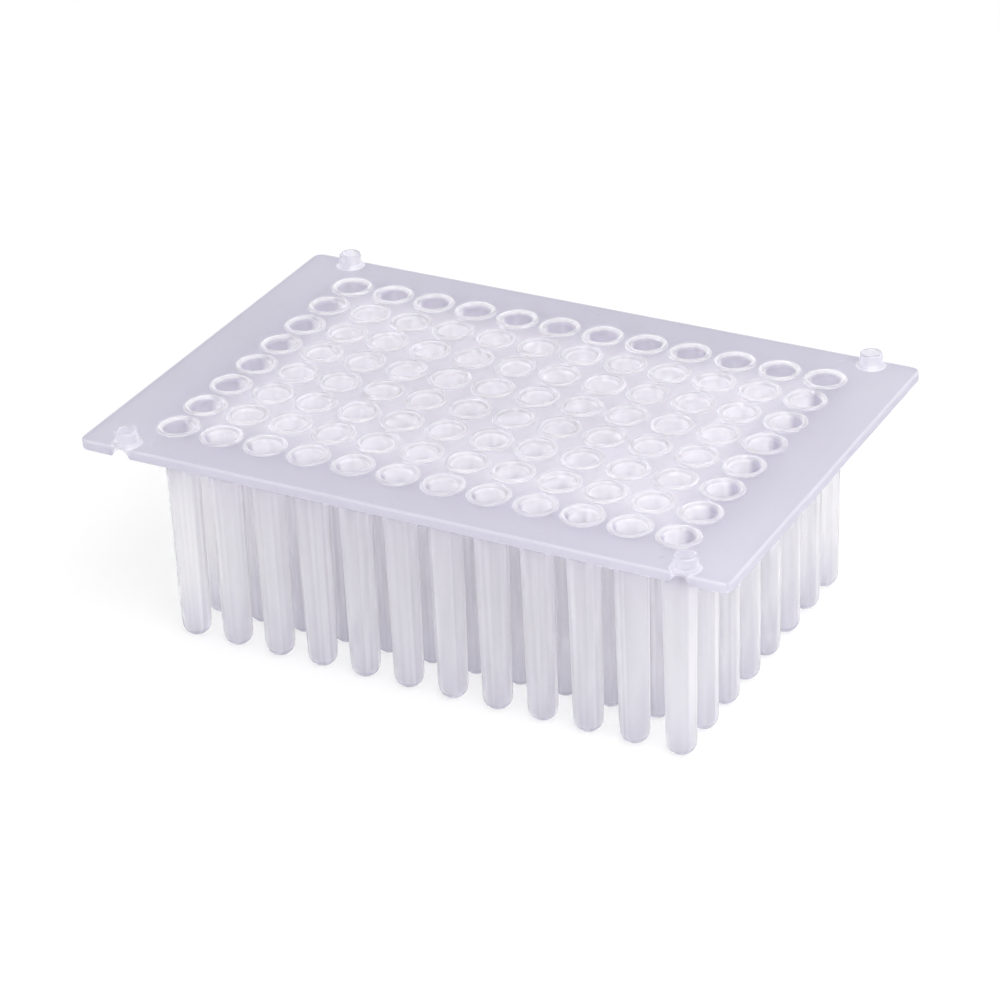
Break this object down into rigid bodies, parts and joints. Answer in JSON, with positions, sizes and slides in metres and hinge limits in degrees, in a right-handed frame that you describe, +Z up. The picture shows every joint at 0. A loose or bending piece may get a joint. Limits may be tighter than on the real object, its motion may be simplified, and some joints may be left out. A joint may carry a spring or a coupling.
{
  "type": "well plate",
  "caption": "Moulded translucent well plate: a thin rectangular plate with a regular grid of closed tubes hanging from it, raised lips around their mouths and hollow bosses at its ends.",
  "frame": {"origin": "middle of the plate's footprint, on the level surface that the tube tips stand on", "axes": "+Z up, out of the wells' mouths; +X along the rows of twelve wells; +Y along the columns of eight"},
  "size_m": [0.1278, 0.0854, 0.0457],
  "materials": {
    "polypropylene": "translucent, natural, satin"
  },
  "bodies": {
    "root": {"well_plate": "polypropylene"}
  },
  "joints": []
}
